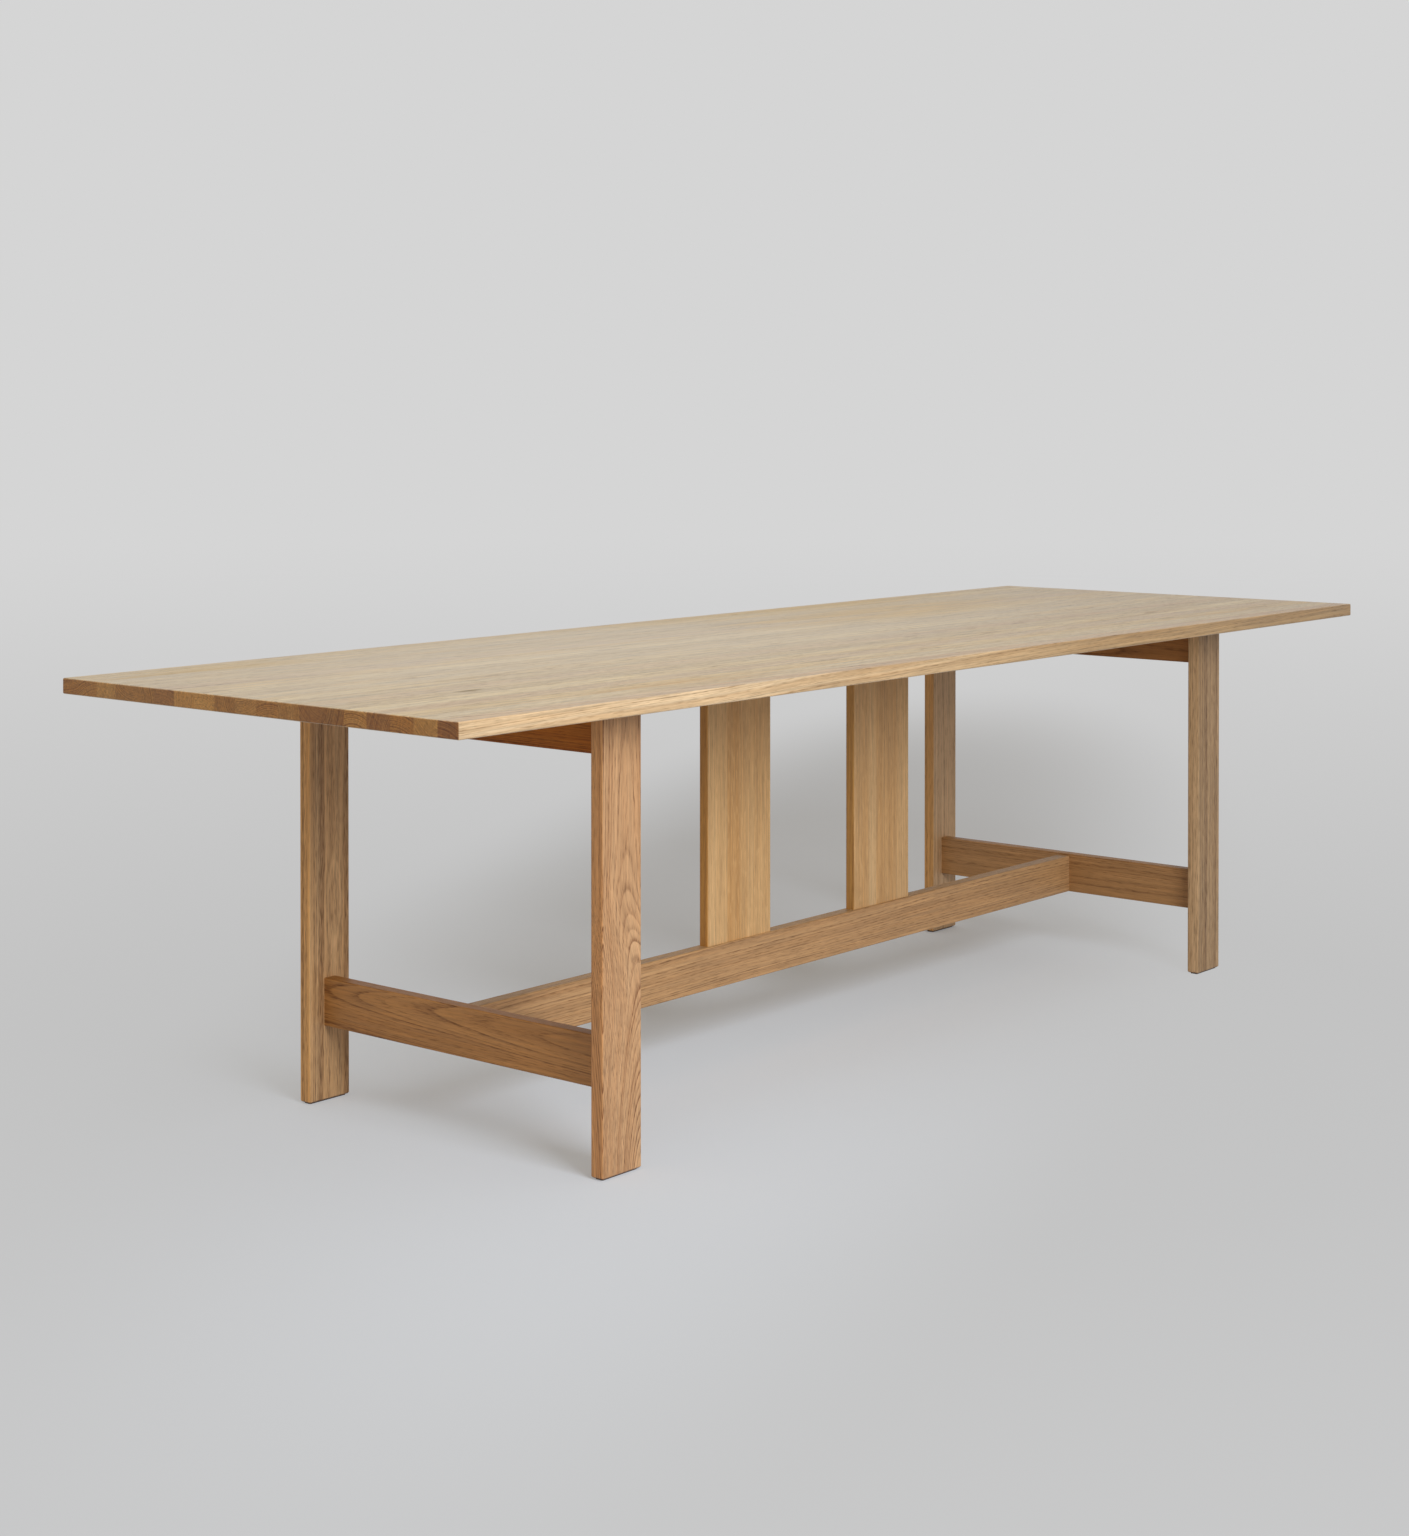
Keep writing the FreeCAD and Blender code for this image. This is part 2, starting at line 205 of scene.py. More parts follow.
def yearRings(tree, cut, radius):  # rings of uneven width, a few of them strong
    change = mathNode(tree, "years", "MULTIPLY", radius, yearLook["change"])
    good = put(tree, "ShaderNodeTexNoise", "good and poor years",
               {"W": change, "Scale": 1.0, "Detail": yearLook["detail"]}, noise_dimensions="1D").outputs[0]
    count = mathNode(tree, "ring count", "MULTIPLY_ADD", radius, 1.0 / cut["ring"], cut["seed"])
    uneven = mathNode(tree, "uneven", "MULTIPLY", good, yearLook["push"])
    count = mathNode(tree, "uneven rings", "ADD", count, uneven)
    early = ramp(tree, "spring wood", mathNode(tree, "time of year", "FRACT", count), springBand[cut["band"]])
    year = mathNode(tree, "year", "FLOOR", count)
    luck = put(tree, "ShaderNodeTexWhiteNoise", "this year", {"W": year}, noise_dimensions="1D")
    luck = mathNode(tree, "few strong years", "POWER", luck.outputs["Value"], yearLook["fewStrong"])
    strength = rescale(tree, "year strength", luck, target=(yearLook["weakest"], 1.0))
    return {"good": good, "early": early, "rings": mathNode(tree, "rings", "MULTIPLY", early, strength)}


poreLook = {"edge": [(0.50, 0.0), (0.68, 1.0)], "summer": 0.3}  # where noise turns to pore, summer's share
rayLook = {
    "height": 48.0, "spacing": 105.0, "length": 60.0,  # how often along the log, round the pith, out from it
    "edge": [(0.62, 0.0), (0.74, 1.0)], "detail": 0.0,
}


def poresAndFibres(tree, cut, wood):  # open pores in the spring wood, fine fibres, broad streaks
    dashes = stretched(tree, "pores", wood["pushed"], cut["seed"]).outputs[0]
    pores = ramp(tree, "open pores", dashes, poreLook["edge"])
    poresHere = rescale(tree, "mostly in spring", wood["early"], target=(poreLook["summer"], 1.0))
    pores = mathNode(tree, "pore marks", "MULTIPLY", pores, poresHere)
    fibre = stretched(tree, "fibres", wood["grain"], cut["seed"]).outputs[0]
    streak = stretched(tree, "streaks", wood["grain"], cut["seed"], cut.get("streak")).outputs[0]
    return {"dashes": dashes, "pores": pores, "fibre": fibre, "streak": streak}


def rayFlecks(tree, wood):  # rays run out from the pith, and show as pale flecks
    log = axesOf(tree, "round the pith", wood["pushed"])
    angle = mathNode(tree, "angle", "ARCTAN2", log["Z"], log["Y"])
    height = mathNode(tree, "ray height", "MULTIPLY", log["X"], rayLook["height"])
    spacing = mathNode(tree, "ray spacing", "MULTIPLY", angle, rayLook["spacing"])
    length = mathNode(tree, "ray length", "MULTIPLY", wood["radius"], rayLook["length"])
    rayPlace = pointOf(tree, "ray place", height, spacing, length)
    rays = put(tree, "ShaderNodeTexNoise", "rays",
               {"Vector": rayPlace, "Scale": 1.0, "Detail": rayLook["detail"]})
    return ramp(tree, "ray flecks", rays.outputs[0], rayLook["edge"])


faceSpan = (0.45, 0.9)  # how square to an axis a face is, from not counted to counted in full


def facesTo(tree, label, wood, way):  # 1 on the faces that look along an axis, 0 on the others
    square = mathNode(tree, label + " faces", "ABSOLUTE", wood["faces"][way])
    return rescale(tree, label + " grain", square, faceSpan)


toneLook = {  # a span is a part of the noise, a depth is what it turns into
    "streakSpan": (0.3, 0.7), "streakDepth": (0.0, 0.6), "stripDepth": 0.6,
    "yearSpan": (0.35, 0.65), "yearDepth": (0.0, 0.5), "dashSpan": (0.4, 0.62), "dashDepth": (0.65, 1.1),
    "endDepth": 3.0,  # how much deeper the rings are on end grain
    "poreDark": 0.66, "fleckPale": 1.08,  # times the board's dark colour, and times its pale one
}


def oakColour(tree, cut, wood, ends):  # from pale summer wood to the dark spring bands, deeper on end grain
    shade = rescale(tree, "streak share", wood["streak"], toneLook["streakSpan"], toneLook["streakDepth"])
    if "strips" in cut:
        more = mathNode(tree, "strip tone", "MULTIPLY", wood["tone"], toneLook["stripDepth"])
    else:
        more = rescale(tree, "poor years darker", wood["good"], toneLook["yearSpan"], toneLook["yearDepth"])
    shade = mathNode(tree, "streaks and tone", "ADD", shade, more, clamp=True)
    colour = mixColour(tree, "broad streaks", shade, paint(*cut["pale"]), paint(*cut["warm"]))
    broken = rescale(tree, "broken by pores", wood["dashes"], toneLook["dashSpan"], toneLook["dashDepth"])
    bands = mathNode(tree, "broken rings", "MULTIPLY", wood["rings"], broken)
    deepest = cut["contrast"] * toneLook["endDepth"]
    depth = rescale(tree, "ring depth", ends, target=(cut["contrast"], deepest))
    bands = mathNode(tree, "deep rings", "MULTIPLY", bands, depth, clamp=True)
    colour = mixColour(tree, "year bands", bands, colour, paint(*cut["dark"]))
    marks = mathNode(tree, "pore depth", "MULTIPLY", wood["pores"], cut["pores"])
    poreColour = paint(*[c * toneLook["poreDark"] for c in cut["dark"]])
    colour = mixColour(tree, "pore colour", marks, colour, poreColour)
    flecks = mathNode(tree, "fleck depth", "MULTIPLY", rayFlecks(tree, wood), cut["flecks"])
    fleckColour = paint(*[min(255, c * toneLook["fleckPale"]) for c in cut["pale"]])
    return mixColour(tree, "fleck colour", flecks, colour, fleckColour)


patchLook = {
    "uneven": (0.5, 0.12),  # how far the slow waves push a patch's edge, along the table and across it
    "soft": 0.2, "streakSpan": (0.36, 0.58), "streakShare": (0.45, 1.0),
}


def patchedColour(tree, cut, wood, colour):  # painted sheen on the rear of the top, painted lack of sheen in yellower zones, tone patches, a knot, and more roughness where the wood has less oil on it
    dry = 0.0
    for i, patch in enumerate(cut["patches"]):
        give = patch.get("uneven", patchLook["uneven"])
        uneven = vectorNode(tree, "uneven edge", "MULTIPLY_ADD", wood["waves"], (*give, 0.0), wood["place"])
        sheenAndTone = spot(tree, "golden patch %d" % i, uneven, (*patch["middle"], 0.0),
                      (*patch["reach"], rightThrough), patchLook["soft"])
        streaky = rescale(tree, "golden in streaks", wood["streak"],
                          patchLook["streakSpan"], patchLook["streakShare"])
        sheenAndTone = mathNode(tree, "golden share", "MULTIPLY", sheenAndTone, streaky)
        dryHere = mathNode(tree, "dryness", "MULTIPLY", sheenAndTone, patch["dry"])
        dry = mathNode(tree, "dry here", "ADD", dry, dryHere)
        sheenAndTone = mathNode(tree, "golden depth", "MULTIPLY", sheenAndTone, patch["depth"])
        colour = mixColour(tree, "sheenAndTone", sheenAndTone, colour, paint(*patch["colour"]))
    return colour, dry


fibreSpan = (0.3, 0.7)  # the part of the fibre noise that shows


def oilAndPaintedSideLight(tree, cut, wood, ends, colour):  # fibres light and dark, the oil on ends, and painted light and shade on the narrow edges
    darkToLight = (1.0 - cut["fibre"], 1.0 + cut["fibre"])
    lift = rescale(tree, "fibre light and dark", wood["fibre"], fibreSpan, darkToLight)
    colour = put(tree, "ShaderNodeHueSaturation", "fibre tone", {"Color": colour, "Value": lift}).outputs[0]
    colour = mixColour(tree, "oiled ends", ends, colour, paint(*cut["end"]), "MULTIPLY")
    if "edge" in cut:  # painted light and shade: the narrow edges lighter or darker than the faces, as the light falls on them
        edges = facesTo(tree, "edge", wood, wood["edgeWay"])
        if "edgeShadeFrom" in cut:  # painted shade that grows along the board: where it starts, where it is complete
            along = rescale(tree, "along the edge", wood["alongAxis"], cut["edgeShadeFrom"])
            edges = mathNode(tree, "edge share", "MULTIPLY", edges, along)
        colour = mixColour(tree, "painted light and shade on edges", edges, colour, (*cut["edge"], 1.0), "MULTIPLY")
    return colour


oilLook = {"spread": 0.06, "dryPores": 0.2, "ior": 1.47}
brushLook = {"fibres": 0.25, "rings": 0.3, "strength": 0.3, "depth": 0.0004}  # heights against a pore's depth


def oilRoughness(tree, cut, wood, dry):  # satin oil, rougher in the pores and where the wood is dry
    satin = (cut["satin"] - oilLook["spread"], cut["satin"] + oilLook["spread"])
    rough = rescale(tree, "satin oil", wood["fibre"], fibreSpan, satin)
    rough = mathNode(tree, "dry patches", "ADD", rough, dry)
    dryPores = mathNode(tree, "dry pores", "MULTIPLY", wood["pores"], oilLook["dryPores"])
    return mathNode(tree, "roughness", "ADD", rough, dryPores, clamp=True)


def brushedSurface(tree, wood):  # pores and spring wood lie lower, fibres stand a little proud
    ringDips = mathNode(tree, "ring dips", "MULTIPLY", wood["rings"], brushLook["rings"])
    dips = mathNode(tree, "dips", "ADD", wood["pores"], ringDips)
    fibreLift = mathNode(tree, "fibre lift", "MULTIPLY", wood["fibre"], brushLook["fibres"])
    height = mathNode(tree, "surface", "SUBTRACT", fibreLift, dips)
    bump = put(tree, "ShaderNodeBump", "brushed surface",
               {"Height": height, "Strength": brushLook["strength"], "Distance": brushLook["depth"]})
    return bump.outputs[0]


def oak(name, node, cut):  # cut says how the board lay in its log, its colours and its oil
    mat, tree = freshMaterial(name)
    cut = dict(plainCut, **cut)
    wood = boardInLog(tree, node, cut)
    wood.update(yearRings(tree, cut, wood["radius"]))
    wood.update(poresAndFibres(tree, cut, wood))
    ends = facesTo(tree, "end", wood, wood["endWay"])
    colour = oakColour(tree, cut, wood, ends)
    colour, dry = patchedColour(tree, cut, wood, colour)
    colour = oilAndPaintedSideLight(tree, cut, wood, ends, colour)
    shader = put(tree, "ShaderNodeBsdfPrincipled", "oiled oak",
                 {"Base Color": colour, "Roughness": oilRoughness(tree, cut, wood, dry),
                  "Normal": brushedSurface(tree, wood), "IOR": oilLook["ior"],
                  "Specular IOR Level": cut["gloss"]})
    put(tree, "ShaderNodeOutputMaterial", "out", {"Surface": shader.outputs[0]})
    return mat


# the top: nineteen staves from the front edge to the rear one
# the staves are paler than the frame's oak: partly their own tone, partly painted light on the top
staveFinish = {
    # the front stave's edge tint is painted shade, darker towards the right end of the front edge
    "front": {"pale": (229, 204, 166), "warm": (207, 174, 131), "dark": (150, 108, 66), "contrast": 0.9,
              "pores": 0.4, "edge": (0.75, 0.655, 0.51), "edgeShadeFrom": (-1.0, 0.4)},
    "straw": {"pale": (241, 222, 180), "warm": (224, 196, 144), "dark": (177, 141, 90)},
    "biscuit": {"pale": (235, 217, 179), "warm": (216, 190, 144), "dark": (169, 135, 90)},
    "honey": {"pale": (237, 215, 167), "warm": (219, 187, 129), "dark": (169, 129, 77)},
    "rose": {"pale": (233, 212, 174), "warm": (213, 183, 139), "dark": (165, 127, 88)},
    "olive": {"pale": (230, 210, 169), "warm": (211, 183, 135), "dark": (160, 127, 83)},
}
endTone = {"deep": (193, 150, 100), "brown": (207, 163, 107), "tan": (216, 174, 118), "fair": (229, 188, 129)}
sheenAndTonePatches = [  # middle and reach in metres on the top, depth of the colour, how much drier; the wide pale patch is painted sheen, the two towards the rear right are painted lack of sheen and are drier too, the rest are tone and a knot
    {"middle": (-0.10, 0.20), "reach": (2.20, 0.48), "colour": (246, 234, 210), "depth": 0.48, "dry": 0.0},
    {"middle": (0.45, 0.395), "reach": (0.85, 0.10), "colour": (234, 200, 134), "depth": 0.45, "dry": 0.12},
    {"middle": (0.56, 0.205), "reach": (0.66, 0.17), "colour": (236, 203, 140), "depth": 0.48, "dry": 0.12},
    {"middle": (-1.10, 0.375), "reach": (0.30, 0.05), "colour": (218, 186, 122), "depth": 0.45, "dry": 0.15},
    {"middle": (-0.80, -0.36), "reach": (0.22, 0.07), "colour": (206, 164, 112), "depth": 0.35, "dry": 0.10},
    {"middle": (-1.07, -0.18), "reach": (0.040, 0.010), "colour": (70, 46, 28), "depth": 1.0, "dry": 0.5,
     "uneven": (0.0, 0.02)},  # a pin knot
]
topCut = {"along": "x", "contrast": 1.0, "pores": 0.75, "satin": 0.33, "fibre": 0.19, "streak": 2.2,
          "patches": sheenAndTonePatches}
staveSeed = {"first": 3.0, "step": 7.3}
# each stave: finish, pith from its middle (across, up), lean of the pith, ring width, tone of its ends
topStaves = [
    ("front", (0.030, -0.052), (0.004, 0.026), 0.0030, "deep"),
    ("biscuit", (-0.036, 0.044), (0.006, -0.010), 0.0026, "fair"),
    ("honey", (0.012, -0.046), (-0.005, 0.012), 0.0034, "brown"),
    ("rose", (-0.058, -0.020), (0.008, 0.004), 0.0024, "deep"),
    ("straw", (0.008, -0.060), (0.003, -0.014), 0.0031, "tan"),
    ("olive", (0.046, 0.030), (-0.010, 0.006), 0.0036, "deep"),
    ("rose", (-0.020, 0.052), (0.004, 0.012), 0.0028, "deep"),
    ("biscuit", (0.062, -0.012), (0.006, -0.004), 0.0024, "tan"),
    ("straw", (-0.012, -0.048), (-0.006, 0.016), 0.0033, "brown"),
    ("biscuit", (0.026, 0.058), (0.005, -0.008), 0.0027, "tan"),
    ("olive", (-0.044, 0.034), (0.008, 0.006), 0.0030, "brown"),
    ("straw", (0.004, -0.056), (-0.004, -0.012), 0.0026, "fair"),
    ("honey", (-0.064, 0.008), (0.006, 0.004), 0.0024, "fair"),
    ("rose", (0.022, -0.050), (0.004, 0.014), 0.0032, "deep"),
    ("olive", (0.050, -0.028), (-0.006, -0.006), 0.0029, "brown"),
    ("olive", (-0.016, 0.062), (0.003, 0.010), 0.0027, "brown"),
    ("biscuit", (0.060, 0.016), (0.008, -0.004), 0.0025, "fair"),
    ("straw", (-0.030, -0.046), (-0.005, 0.010), 0.0033, "brown"),
    ("honey", (0.018, 0.054), (0.004, -0.012), 0.0028, "brown"),
]
for i, (finish, pith, lean, ring, end) in enumerate(topStaves):
    stave = "top_stave_%02d" % (i + 1)
    seed = staveSeed["first"] + staveSeed["step"] * i
    sawn = {"pith": pith, "lean": lean, "ring": ring, "end": endTone[end], "seed": seed}
    dress(stave, oak("oak stave %02d" % (i + 1), stave, {**topCut, **staveFinish[finish], **sawn}))
print("top dressed:", len(topStaves), "staves")

# the frame boards, each sawn from its own place in a log
# an edge tint is painted light and shade: it makes a board's narrow faces lighter or darker than its wide
# ones, as the light falls
frameBoards = {
    "leg_left_front": {
        "along": "z", "pith": (0.009, 0.088), "lean": (0.0, 0.006), "ring": 0.0022, "seed": 211.0,
        "pale": (210, 168, 124), "warm": (186, 140, 97), "dark": (128, 82, 46), "contrast": 1.25,
        "wander": 0.006, "pores": 0.65, "fibre": 0.16, "edge": (1.17, 1.0, 0.76),
        "bend": {"across": (0.10, -0.12, 0.041), "through": (0.16, -0.45, -0.042)},
    },
    "leg_left_rear": {
        "along": "z", "pith": (0.010, 0.058), "lean": (0.0, -0.003), "ring": 0.0046, "seed": 223.0,
        "pale": (227, 188, 140), "warm": (197, 152, 103), "dark": (130, 92, 57), "contrast": 0.9,
        "wander": 0.008, "band": "broad", "fibre": 0.16, "edge": (1.36, 1.22, 0.88),
        "swirl": {"along": -0.02, "across": 0.010, "long": 0.10, "wide": 0.03, "push": -0.004},
    },
    "leg_right_front": {
        "along": "z", "pith": (-0.075, 0.050), "lean": (0.010, 0.006), "ring": 0.0036, "seed": 239.0,
        "pale": (212, 178, 136), "warm": (176, 142, 102), "dark": (122, 88, 55), "contrast": 1.1,
        "band": "broad", "fibre": 0.16, "edge": (1.17, 1.17, 1.17),
    },
    "leg_right_rear": {
        "along": "z", "pith": (0.030, 0.055), "lean": (0.012, -0.010), "ring": 0.0030, "seed": 251.0,
        "pale": (210, 176, 135), "warm": (190, 154, 114), "dark": (136, 99, 65), "contrast": 0.7,
        "edge": (1.08, 0.86, 0.51),
    },
    "lower_rail_left": {
        "along": "y", "pith": (0.0475, 0.024), "lean": (0.025, 0.0), "ring": 0.0030, "seed": 263.0,
        "pale": (197, 141, 80), "warm": (172, 118, 61), "dark": (116, 69, 29), "contrast": 0.85,
        "edge": (0.78, 0.72, 0.50),
    },
    "lower_rail_right": {
        "along": "y", "pith": (0.060, -0.030), "lean": (0.012, 0.010), "ring": 0.0030, "seed": 277.0,
        "pale": (188, 142, 92), "warm": (170, 125, 77), "dark": (120, 78, 43), "contrast": 0.85,
    },
    # the bearers are darker and more orange than the rest of the oak: partly their own tone, partly painted
    # warm shade under the top
    "bearer_left": {
        "along": "y", "pith": (0.045, 0.030), "lean": (0.014, -0.010), "ring": 0.0032, "seed": 283.0,
        "pale": (191, 117, 41), "warm": (176, 102, 33), "dark": (117, 61, 19), "contrast": 1.0, "gloss": 0.2,
    },
    "bearer_right": {
        "along": "y", "pith": (0.050, -0.020), "lean": (-0.012, 0.012), "ring": 0.0030, "seed": 293.0,
        "pale": (176, 122, 71), "warm": (161, 107, 58), "dark": (106, 65, 31), "contrast": 1.05, "gloss": 0.2,
    },
    "stretcher": {
        "along": "x", "pith": (0.070, 0.055), "lean": (0.003, 0.004), "ring": 0.0026, "seed": 307.0,
        "pale": (201, 159, 112), "warm": (179, 136, 91), "dark": (128, 87, 50), "contrast": 1.0,
        "wander": 0.008, "pores": 0.55, "fibre": 0.15, "edge": (0.87, 0.90, 0.88),
    },
    "slat_left": {
        "along": "z", "pith": (-0.140, 0.060), "lean": (0.004, 0.003), "ring": 0.0026, "seed": 311.0,
        "pale": (220, 182, 130), "warm": (198, 150, 93), "dark": (154, 110, 64), "contrast": 0.7,
        "wander": 0.008, "pores": 0.35, "fibre": 0.15, "edge": (0.78, 0.60, 0.30),
        "strips": [(0.0, 0.2), (0.30, 0.75), (0.62, 0.35)],
    },
    "slat_right": {
        "along": "z", "pith": (0.150, 0.055), "lean": (-0.004, 0.003), "ring": 0.0027, "seed": 331.0,
        "pale": (215, 178, 129), "warm": (194, 148, 94), "dark": (148, 108, 64), "contrast": 0.7,
        "wander": 0.008, "pores": 0.35, "fibre": 0.15, "edge": (0.85, 0.71, 0.40),
        "strips": [(0.0, 0.45), (0.27, 0.10), (0.40, 0.75), (0.76, 0.30)],
    },
}
for board, cut in frameBoards.items():
    dress(board, oak("oak " + board.replace("_", " "), board, cut))
print("frame dressed:", len(frameBoards), "boards")

# felt under the feet
feltLook = {"wool": (58, 50, 45), "fleck": (92, 82, 74), "fleckEdge": [(0.4, 0.0), (0.72, 1.0)],
            "tufts": 900.0, "tuftDetail": 3.0, "hairs": 1400.0,  # tufts and hairs in a metre
            "nap": 0.6, "napDepth": 0.0006, "rough": 0.95, "sheen": 0.3}


def feltMaterial():
    mat, tree = freshMaterial("dark wool felt")
    place = put(tree, "ShaderNodeTexCoord", "place").outputs["Object"]
    tufts = put(tree, "ShaderNodeTexNoise", "tufts",
                {"Vector": place, "Scale": feltLook["tufts"], "Detail": feltLook["tuftDetail"]}).outputs[0]
    hairs = put(tree, "ShaderNodeTexVoronoi", "hairs", {"Vector": place, "Scale": feltLook["hairs"]})
    share = ramp(tree, "flecks", tufts, feltLook["fleckEdge"])
    colour = mixColour(tree, "wool colour", share, paint(*feltLook["wool"]), paint(*feltLook["fleck"]))
    height = mathNode(tree, "nap", "MULTIPLY", tufts, hairs.outputs["Distance"])
    bump = put(tree, "ShaderNodeBump", "nap bump",
               {"Height": height, "Strength": feltLook["nap"], "Distance": feltLook["napDepth"]})
    shader = put(tree, "ShaderNodeBsdfPrincipled", "felt",
                 {"Base Color": colour, "Roughness": feltLook["rough"], "Normal": bump.outputs[0],
                  "Sheen Weight": feltLook["sheen"]})
    put(tree, "ShaderNodeOutputMaterial", "out", {"Surface": shader.outputs[0]})
    return mat


# metal of the bolts, washers, plates and inserts
metalLook = {
    "zinc plated steel": {"colour": (176, 178, 180), "tarnish": (150, 150, 146), "rough": (0.28, 0.42)},
    "turned brass": {"colour": (206, 172, 102), "tarnish": (168, 132, 70), "rough": (0.24, 0.4)},
}
metalWear = {  # clouds and marks in a metre
    "clouds": 160.0, "cloudDetail": 3.0, "cloudEdge": [(0.42, 0.0), (0.7, 1.0)], "dullSpan": (0.3, 0.7),
    "marks": 2600.0, "markDetail": 2.0, "markStrength": 0.15, "markDepth": 0.0001,
}


def metalMaterial(name):
    look = metalLook[name]
    mat, tree = freshMaterial(name)
    place = put(tree, "ShaderNodeTexCoord", "place").outputs["Object"]
    cloud = put(tree, "ShaderNodeTexNoise", "tarnish clouds",
                {"Vector": place, "Scale": metalWear["clouds"],
                 "Detail": metalWear["cloudDetail"]}).outputs[0]
    marks = put(tree, "ShaderNodeTexNoise", "tool marks",
                {"Vector": place, "Scale": metalWear["marks"], "Detail": metalWear["markDetail"]}).outputs[0]
    share = ramp(tree, "tarnish", cloud, metalWear["cloudEdge"])
    colour = mixColour(tree, "metal colour", share, paint(*look["colour"]), paint(*look["tarnish"]))
    rough = rescale(tree, "dull spots", cloud, metalWear["dullSpan"], look["rough"])
    bump = put(tree, "ShaderNodeBump", "fine marks",
               {"Height": marks, "Strength": metalWear["markStrength"], "Distance": metalWear["markDepth"]})
    shader = put(tree, "ShaderNodeBsdfPrincipled", "metal",
                 {"Base Color": colour, "Metallic": 1.0, "Roughness": rough, "Normal": bump.outputs[0]})
    put(tree, "ShaderNodeOutputMaterial", "out", {"Surface": shader.outputs[0]})
    return mat


# beech dowels, with the short flecks of that wood
beechLook = {"wood": (216, 180, 142), "fleck": (178, 134, 96), "fleckEdge": [(0.55, 0.0), (0.68, 1.0)],
             "detail": 1.0, "rough": (0.55, 0.75), "bump": 0.2, "bumpDepth": 0.0002}
dowels = {  # the material's name, and how often its flecks come in a metre
    "stretcher_end_dowels": {"name": "beech end dowels", "often": (90.0, 900.0, 900.0)},
    "slat_foot_dowels": {"name": "beech foot dowels", "often": (900.0, 900.0, 90.0)},
}


def beechMaterial(name, often):
    mat, tree = freshMaterial(name)
    place = put(tree, "ShaderNodeTexCoord", "place").outputs["Object"]
    spread = put(tree, "ShaderNodeMapping", "along the dowel", {"Vector": place, "Scale": often})
    short = put(tree, "ShaderNodeTexNoise", "short flecks",
                {"Vector": spread.outputs[0], "Scale": 1.0, "Detail": beechLook["detail"]}).outputs[0]
    share = ramp(tree, "flecks", short, beechLook["fleckEdge"])
    colour = mixColour(tree, "beech colour", share, paint(*beechLook["wood"]), paint(*beechLook["fleck"]))
    rough = rescale(tree, "dry wood", short, target=beechLook["rough"])
    bump = put(tree, "ShaderNodeBump", "beech grain",
               {"Height": short, "Strength": beechLook["bump"], "Distance": beechLook["bumpDepth"]})
    shader = put(tree, "ShaderNodeBsdfPrincipled", "beech",
                 {"Base Color": colour, "Roughness": rough, "Normal": bump.outputs[0]})
    put(tree, "ShaderNodeOutputMaterial", "out", {"Surface": shader.outputs[0]})
    return mat


felt = feltMaterial()
zinc = metalMaterial("zinc plated steel")
brass = metalMaterial("turned brass")
for node in nodes:
    if node.startswith("felt_pad"):
        dress(node, felt)
    elif node == "top_bolt_inserts":
        dress(node, brass)
    elif node.startswith(("top_bolt", "hanger", "half_moon", "slat_head", "plate_to")):
        dress(node, zinc)
for node, dowel in dowels.items():
    dress(node, beechMaterial(dowel["name"], dowel["often"]))
print("felt, metal and dowels dressed")

# studio: a pale seamless floor, one big soft lamp in front, even light all round
studio = {
    "backdrop": (213, 213, 213), "near": (195, 195, 195),  # far behind the table, and close by
    "floor": (206, 213, 224), "floorSeen": (235, 244, 255),  # as it lights the table, and as it shows
    "floorReach": 60.0, "floorSides": 96,
    "shadeMiddle": (1.35, 0.97, 0.0), "shadeTurn": (0.0, 0.0, 0.47), "shadeReach": (4.5, 1.07, 1.0),
    "shadeEdge": (0.3, 1.0), "sweepShare": (0.1, 0.97),  # share of backdrop in the shade, and away from it
    "farAway": (4.0, 13.0),  # from here to there the floor turns into backdrop altogether
    "standBack": 4.75, "paleFrom": 1.25, "paleTo": 17.5,  # the floor gets paler evenly as the camera sees it
    "around": (1.0, 0.89, 0.77, 1.0), "aroundLevel": 0.46,
}


def seenDirectly(tree):  # 1 for rays that show the backdrop itself
    path = put(tree, "ShaderNodeLightPath", "ray").outputs
    seen = mathNode(tree, "camera or gloss", "MAXIMUM", path["Is Camera Ray"], path["Is Glossy Ray"])
    return mathNode(tree, "or glass", "MAXIMUM", seen, path["Is Transmission Ray"])


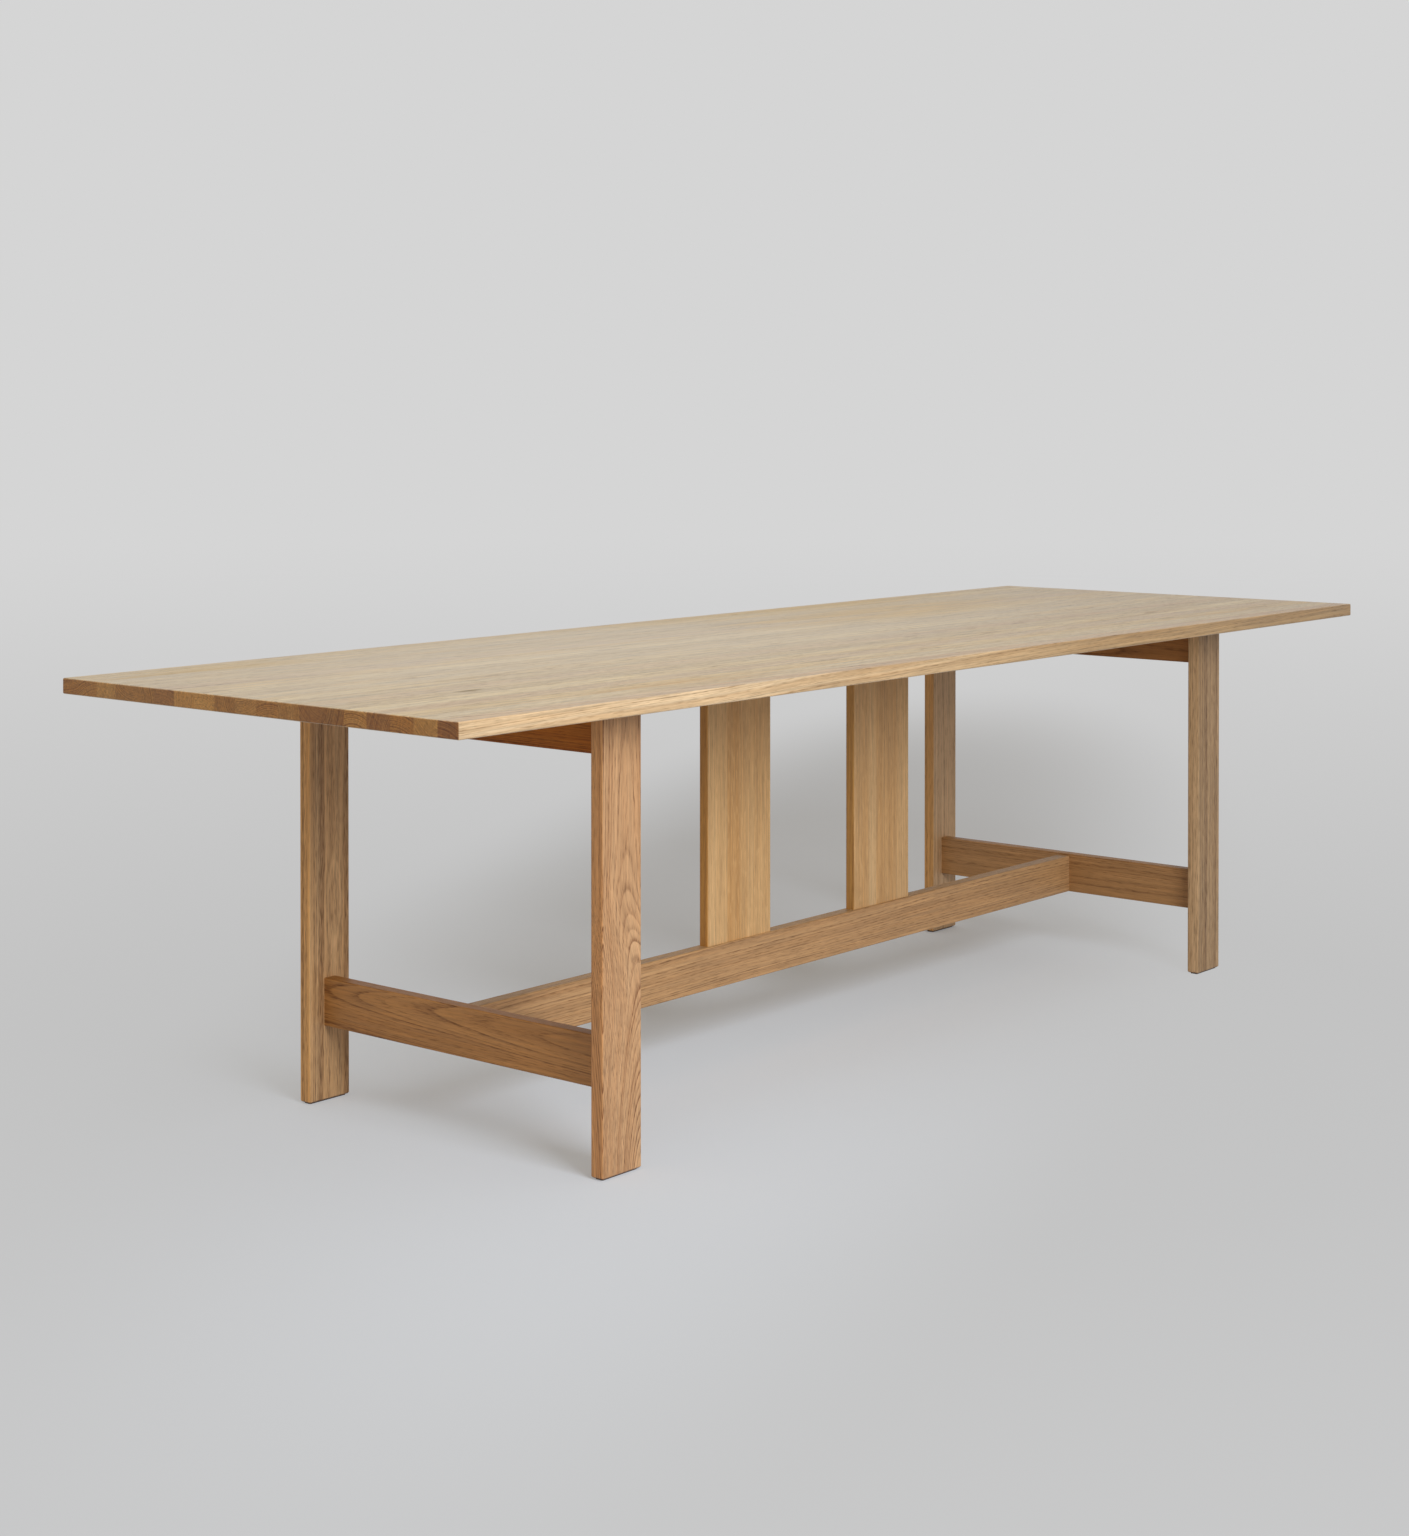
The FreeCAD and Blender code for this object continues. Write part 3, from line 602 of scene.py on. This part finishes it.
def floorMaterial():
    mat, tree = freshMaterial("pale studio floor")
    place = put(tree, "ShaderNodeTexCoord", "place").outputs["Object"]
    away = vectorNode(tree, "from the middle", "LENGTH", place)
    oval = put(tree, "ShaderNodeMapping", "shade oval",
               {"Vector": place, "Location": studio["shadeMiddle"], "Rotation": studio["shadeTurn"],
                "Scale": studio["shadeReach"]}, vector_type="TEXTURE")
    beside = vectorNode(tree, "from the shade", "LENGTH", oval.outputs[0])
    share = rescale(tree, "sweep", beside, studio["shadeEdge"], studio["sweepShare"], "SMOOTHSTEP")
    far = rescale(tree, "far away", away, studio["farAway"], ease="SMOOTHSTEP")
    share = put(tree, "ShaderNodeMix", "only sweep far away", {"Factor": far, "A": share, "B": 1.0})
    seen = seenDirectly(tree)
    share = mathNode(tree, "sweep seen", "MULTIPLY", share.outputs[0], seen)
    white = mixColour(tree, "floor as seen", seen, paint(*studio["floor"]), paint(*studio["floorSeen"]))
    matt = put(tree, "ShaderNodeBsdfDiffuse", "matt floor", {"Color": white})
    standOff = mathNode(tree, "from where one stands", "ADD", away, studio["standBack"])
    nearness = mathNode(tree, "nearness", "DIVIDE", 1.0, standOff)
    nearToFar = [1.0 / (studio[key] + studio["standBack"]) for key in ("paleFrom", "paleTo")]
    paler = rescale(tree, "paler far away", nearness, nearToFar)
    pale = mixColour(tree, "near to far", paler, paint(*studio["near"]), paint(*studio["backdrop"]))
    glow = put(tree, "ShaderNodeEmission", "backdrop", {"Color": pale, "Strength": 1.0})
    sweep = put(tree, "ShaderNodeMixShader", "floor into backdrop",
                {0: share, 1: matt.outputs[0], 2: glow.outputs[0]})
    put(tree, "ShaderNodeOutputMaterial", "out", {"Surface": sweep.outputs[0]})
    return mat


bpy.ops.object.select_all(action="DESELECT")
bpy.ops.mesh.primitive_circle_add(vertices=studio["floorSides"], radius=studio["floorReach"],
                                  fill_type="NGON", location=(0, 0, 0))
floor = bpy.context.object
floor.name = "studio_floor"
floor.data.materials.append(floorMaterial())

world = bpy.data.worlds.new("studio")
bpy.context.scene.world = world
world.use_nodes = True
tree = world.node_tree
tree.nodes.clear()
soft = put(tree, "ShaderNodeBackground", "soft light",
           {"Color": studio["around"], "Strength": studio["aroundLevel"]})
back = put(tree, "ShaderNodeBackground", "backdrop", {"Color": paint(*studio["backdrop"]), "Strength": 1.0})
both = put(tree, "ShaderNodeMixShader", "seen or lit",
           {0: seenDirectly(tree), 1: soft.outputs[0], 2: back.outputs[0]})
put(tree, "ShaderNodeOutputWorld", "out", {"Surface": both.outputs[0]})

softBox = {"place": (-1.6, -3.5, 2.3), "aim": (-0.8, -0.2, 0.35), "size": 1.9, "spread": 100.0, "power": 36.0,
           "colour": (0.97, 1.0, 1.05)}
bpy.ops.object.light_add(type="AREA", location=softBox["place"])
lamp = bpy.context.object
lamp.name = "soft_box"
lamp.data.shape = "SQUARE"
lamp.data.size = softBox["size"]
lamp.data.energy = softBox["power"]
lamp.data.color = softBox["colour"]
lamp.data.spread = math.radians(softBox["spread"])
lamp.visible_glossy = False  # keeps its glare off the top from behind
lamp.rotation_euler = (Vector(softBox["aim"]) - lamp.location).to_track_quat("-Z", "Y").to_euler()
print("studio set")

# camera at the photograph's place
lens = {"place": (-3.7684, -2.8876, 1.1580), "heading": 39.818, "tilt": -0.618, "focal": 59.655,
        "shift": -0.2164, "sensor": 36.0}
bpy.ops.object.camera_add(location=lens["place"],
                          rotation=(math.radians(90 + lens["tilt"]), 0.0, math.radians(lens["heading"] - 90)))
camera = bpy.context.object
camera.data.sensor_width = lens["sensor"]
camera.data.lens = lens["focal"]
camera.data.shift_y = lens["shift"]
bpy.context.scene.camera = camera
bpy.context.scene.view_settings.view_transform = "Standard"
print("camera set")
